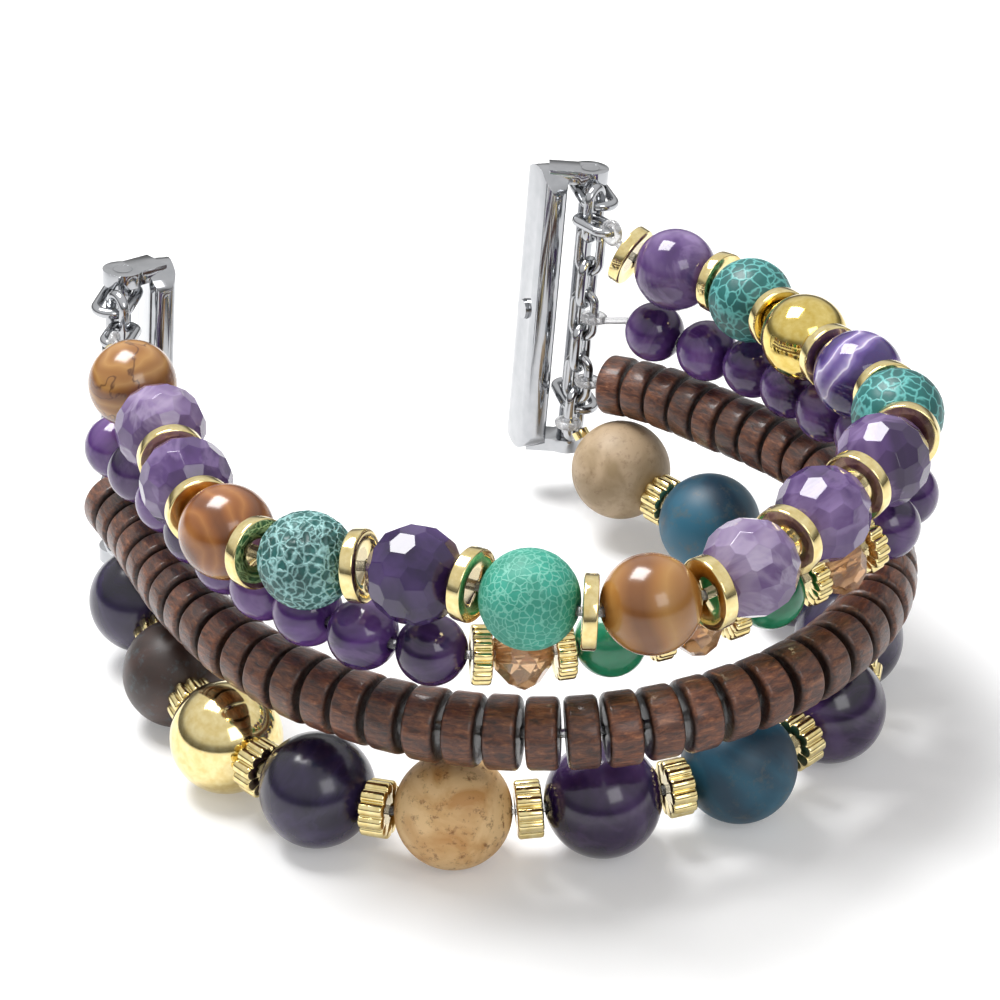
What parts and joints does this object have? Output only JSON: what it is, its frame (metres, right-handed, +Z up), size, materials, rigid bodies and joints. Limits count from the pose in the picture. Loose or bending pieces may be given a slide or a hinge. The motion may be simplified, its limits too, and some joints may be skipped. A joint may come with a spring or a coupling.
{
  "type": "bead watch band",
  "caption": "Stretch bead watch band: round stone beads, wood discs and metal spacers on parallel elastic cords, joined by link chains to sliding lug adapters.",
  "frame": {"origin": "middle of the footprint, on the surface that the band's bottom beads stand on", "axes": "+Z up across the band's width, from the large-bead strand to the top strand; -Y towards the middle of the strands; the open end with the two lug adapters is at +Y"},
  "size_m": [0.0786, 0.0832, 0.0365],
  "materials": {
    "amethyst": "polished purple quartz",
    "pale_amethyst": "polished pale purple quartz",
    "jasper": "polished orange-brown stone with dark streaks",
    "agate_teal": "teal stone with a pale crackle net",
    "sand_jasper": "matte sand-coloured stone with brown specks",
    "apatite": "matte deep blue stone",
    "aventurine": "polished green stone",
    "crystal": "cut champagne glass",
    "gold": "polished gold plating on brass",
    "steel": "polished steel",
    "walnut": "lacquered dark wood",
    "elastic": "clear-white elastic cord",
    "walnut_stone": "polished dark brown stone with bluish specks"
  },
  "bodies": {
    "band": {"gold_washers": "gold", "small_beads": "amethyst", "green_beads": "aventurine", "crystals": "crystal", "gear_spacers": "gold", "wood_discs": "walnut", "flower_spacers": "gold", "crimps": "gold", "top_cord": "elastic", "small_cord": "elastic", "wood_cord": "elastic", "bottom_cord": "elastic", "chain_left": "steel", "chain_right": "steel", "strand_ring_left": "steel", "strand_ring_right": "steel"},
    "top_bead_1": {"top_bead_1": "jasper"},
    "top_bead_2": {"top_bead_2": "pale_amethyst"},
    "top_bead_3": {"top_bead_3": "pale_amethyst"},
    "top_bead_4": {"top_bead_4": "jasper"},
    "top_bead_5": {"top_bead_5": "agate_teal"},
    "top_bead_6": {"top_bead_6": "amethyst"},
    "top_bead_7": {"top_bead_7": "agate_teal"},
    "top_bead_8": {"top_bead_8": "jasper"},
    "top_bead_9": {"top_bead_9": "pale_amethyst"},
    "top_bead_10": {"top_bead_10": "amethyst"},
    "top_bead_11": {"top_bead_11": "amethyst"},
    "top_bead_12": {"top_bead_12": "agate_teal"},
    "top_bead_13": {"top_bead_13": "amethyst"},
    "top_bead_14": {"top_bead_14": "gold"},
    "top_bead_15": {"top_bead_15": "agate_teal"},
    "top_bead_16": {"top_bead_16": "amethyst"},
    "bottom_bead_1": {"bottom_bead_1": "amethyst"},
    "bottom_bead_2": {"bottom_bead_2": "walnut_stone"},
    "bottom_bead_3": {"bottom_bead_3": "gold"},
    "bottom_bead_4": {"bottom_bead_4": "amethyst"},
    "bottom_bead_5": {"bottom_bead_5": "sand_jasper"},
    "bottom_bead_6": {"bottom_bead_6": "amethyst"},
    "bottom_bead_7": {"bottom_bead_7": "apatite"},
    "bottom_bead_8": {"bottom_bead_8": "amethyst"},
    "bottom_bead_9": {"bottom_bead_9": "amethyst"},
    "bottom_bead_10": {"bottom_bead_10": "amethyst"},
    "bottom_bead_11": {"bottom_bead_11": "apatite"},
    "bottom_bead_12": {"bottom_bead_12": "sand_jasper"},
    "rings_left": {"upper_ring_left": "steel", "lower_ring_left": "steel"},
    "lug_left": {"lug_left": "steel", "bar_left": "steel"},
    "catch_left": {"catch_left": "steel", "catch_spring_left": "steel"},
    "rings_right": {"upper_ring_right": "steel", "lower_ring_right": "steel"},
    "lug_right": {"lug_right": "steel", "bar_right": "steel"},
    "catch_right": {"catch_right": "steel", "catch_spring_right": "steel"}
  },
  "joints": [
    {"name": "top_bead_1_spin", "type": "hinge", "parent": "band", "child": "top_bead_1", "pos_m": [-0.03162, 0.00408, 0.03064], "axis": [0.433, -0.8885, -0.1523], "continuous": true},
    {"name": "top_bead_2_spin", "type": "hinge", "parent": "band", "child": "top_bead_2", "pos_m": [-0.02865, -0.00359, 0.02959], "axis": [0.2803, -0.9548, -0.0988], "continuous": true},
    {"name": "top_bead_3_spin", "type": "hinge", "parent": "band", "child": "top_bead_3", "pos_m": [-0.02577, -0.01297, 0.02887], "axis": [0.313, -0.9485, -0.0481], "continuous": true},
    {"name": "top_bead_4_spin", "type": "hinge", "parent": "band", "child": "top_bead_4", "pos_m": [-0.02174, -0.02186, 0.02869], "axis": [0.5222, -0.8527, 0.0139], "continuous": true},
    {"name": "top_bead_5_spin", "type": "hinge", "parent": "band", "child": "top_bead_5", "pos_m": [-0.01488, -0.02844, 0.02919], "axis": [0.875, -0.4761, 0.0876], "continuous": true},
    {"name": "top_bead_6_spin", "type": "hinge", "parent": "band", "child": "top_bead_6", "pos_m": [-0.00616, -0.03286, 0.02981], "axis": [0.8878, -0.4593, 0.0298], "continuous": true},
    {"name": "top_bead_7_spin", "type": "hinge", "parent": "band", "child": "top_bead_7", "pos_m": [0.00265, -0.03705, 0.02937], "axis": [0.9255, -0.3605, -0.1164], "continuous": true},
    {"name": "top_bead_8_spin", "type": "hinge", "parent": "band", "child": "top_bead_8", "pos_m": [0.01197, -0.03764, 0.02868], "axis": [0.97, 0.2424, -0.0182], "continuous": true},
    {"name": "top_bead_9_spin", "type": "hinge", "parent": "band", "child": "top_bead_9", "pos_m": [0.02011, -0.03284, 0.02884], "axis": [0.6905, 0.7218, 0.0474], "continuous": true},
    {"name": "top_bead_10_spin", "type": "hinge", "parent": "band", "child": "top_bead_10", "pos_m": [0.02673, -0.02559, 0.02949], "axis": [0.6664, 0.7411, 0.0815], "continuous": true},
    {"name": "top_bead_11_spin", "type": "hinge", "parent": "band", "child": "top_bead_11", "pos_m": [0.03271, -0.01786, 0.03002], "axis": [0.5319, 0.8466, 0.0195], "continuous": true},
    {"name": "top_bead_12_spin", "type": "hinge", "parent": "band", "child": "top_bead_12", "pos_m": [0.0353, -0.00879, 0.02978], "axis": [-0.0152, 0.998, -0.0616], "continuous": true},
    {"name": "top_bead_13_spin", "type": "hinge", "parent": "band", "child": "top_bead_13", "pos_m": [0.0332, 0.00061, 0.02931], "axis": [-0.3792, 0.9247, -0.0332], "continuous": true},
    {"name": "top_bead_14_spin", "type": "hinge", "parent": "band", "child": "top_bead_14", "pos_m": [0.0295, 0.00973, 0.02911], "axis": [-0.3648, 0.9311, -0.0082], "continuous": true},
    {"name": "top_bead_15_spin", "type": "hinge", "parent": "band", "child": "top_bead_15", "pos_m": [0.02548, 0.01868, 0.02922], "axis": [-0.4713, 0.8814, 0.0326], "continuous": true},
    {"name": "top_bead_16_spin", "type": "hinge", "parent": "band", "child": "top_bead_16", "pos_m": [0.01889, 0.02543, 0.02992], "axis": [-0.8683, 0.4828, 0.114], "continuous": true},
    {"name": "bottom_bead_1_spin", "type": "hinge", "parent": "band", "child": "bottom_bead_1", "pos_m": [-0.03369, 0.00789, 0.00638], "axis": [0.3446, -0.9095, -0.2327], "continuous": true},
    {"name": "bottom_bead_2_spin", "type": "hinge", "parent": "band", "child": "bottom_bead_2", "pos_m": [-0.02955, -0.00391, 0.00504], "axis": [0.3268, -0.945, -0.0083], "continuous": true},
    {"name": "bottom_bead_3_spin", "type": "hinge", "parent": "band", "child": "bottom_bead_3", "pos_m": [-0.02433, -0.01541, 0.005], "axis": [0.5048, -0.8633, 0], "continuous": true},
    {"name": "bottom_bead_4_spin", "type": "hinge", "parent": "band", "child": "bottom_bead_4", "pos_m": [-0.01602, -0.02465, 0.005], "axis": [0.813, -0.5823, 0], "continuous": true},
    {"name": "bottom_bead_5_spin", "type": "hinge", "parent": "band", "child": "bottom_bead_5", "pos_m": [-0.00451, -0.02894, 0.005], "axis": [0.9955, -0.0944, 0], "continuous": true},
    {"name": "bottom_bead_6_spin", "type": "hinge", "parent": "band", "child": "bottom_bead_6", "pos_m": [0.00805, -0.02842, 0.005], "axis": [0.9866, 0.1632, 0], "continuous": true},
    {"name": "bottom_bead_7_spin", "type": "hinge", "parent": "band", "child": "bottom_bead_7", "pos_m": [0.01986, -0.02434, 0.005], "axis": [0.8685, 0.4957, 0], "continuous": true},
    {"name": "bottom_bead_8_spin", "type": "hinge", "parent": "band", "child": "bottom_bead_8", "pos_m": [0.02865, -0.01574, 0.005], "axis": [0.5117, 0.8592, 0], "continuous": true},
    {"name": "bottom_bead_9_spin", "type": "hinge", "parent": "band", "child": "bottom_bead_9", "pos_m": [0.03192, -0.00393, 0.00503], "axis": [0.0034, 1, 0.0056], "continuous": true},
    {"name": "bottom_bead_10_spin", "type": "hinge", "parent": "band", "child": "bottom_bead_10", "pos_m": [0.02873, 0.00791, 0.0053], "axis": [-0.5052, 0.8621, 0.0384], "continuous": true},
    {"name": "bottom_bead_11_spin", "type": "hinge", "parent": "band", "child": "bottom_bead_11", "pos_m": [0.02123, 0.01805, 0.00587], "axis": [-0.6536, 0.7552, 0.0498], "continuous": true},
    {"name": "bottom_bead_12_spin", "type": "hinge", "parent": "band", "child": "bottom_bead_12", "pos_m": [0.01313, 0.02749, 0.00756], "axis": [-0.6381, 0.7269, 0.2539], "continuous": true},
    {"name": "rings_left_swing", "type": "hinge", "parent": "band", "child": "rings_left", "pos_m": [-0.03598, 0.01648, 0.02111], "axis": [0.1219, 0, 0.9925], "range_deg": [-15, 15]},
    {"name": "lug_left_swing", "type": "hinge", "parent": "rings_left", "child": "lug_left", "pos_m": [-0.03555, 0.02089, 0.01954], "axis": [0.1219, 0, 0.9925], "range_deg": [-40, 40]},
    {"name": "catch_left_press", "type": "slide", "parent": "lug_left", "child": "catch_left", "axis": [-0.9266, -0.3584, 0.1138], "range_m": [0, 0.0006], "stiffness_N_per_m": 300, "springref_m": -0.001, "deforming": ["catch_spring_left"]},
    {"name": "rings_right_swing", "type": "hinge", "parent": "band", "child": "rings_right", "pos_m": [0.01081, 0.03436, 0.02215], "axis": [0.1219, 0, 0.9925], "range_deg": [-15, 15]},
    {"name": "lug_right_swing", "type": "hinge", "parent": "rings_right", "child": "lug_right", "pos_m": [0.00968, 0.03871, 0.02047], "axis": [0.1219, 0, 0.9925], "range_deg": [-50, 8]},
    {"name": "catch_right_press", "type": "slide", "parent": "lug_right", "child": "catch_right", "axis": [0.9266, 0.3584, -0.1138], "range_m": [0, 0.0006], "stiffness_N_per_m": 300, "springref_m": -0.001, "deforming": ["catch_spring_right"]}
  ]
}
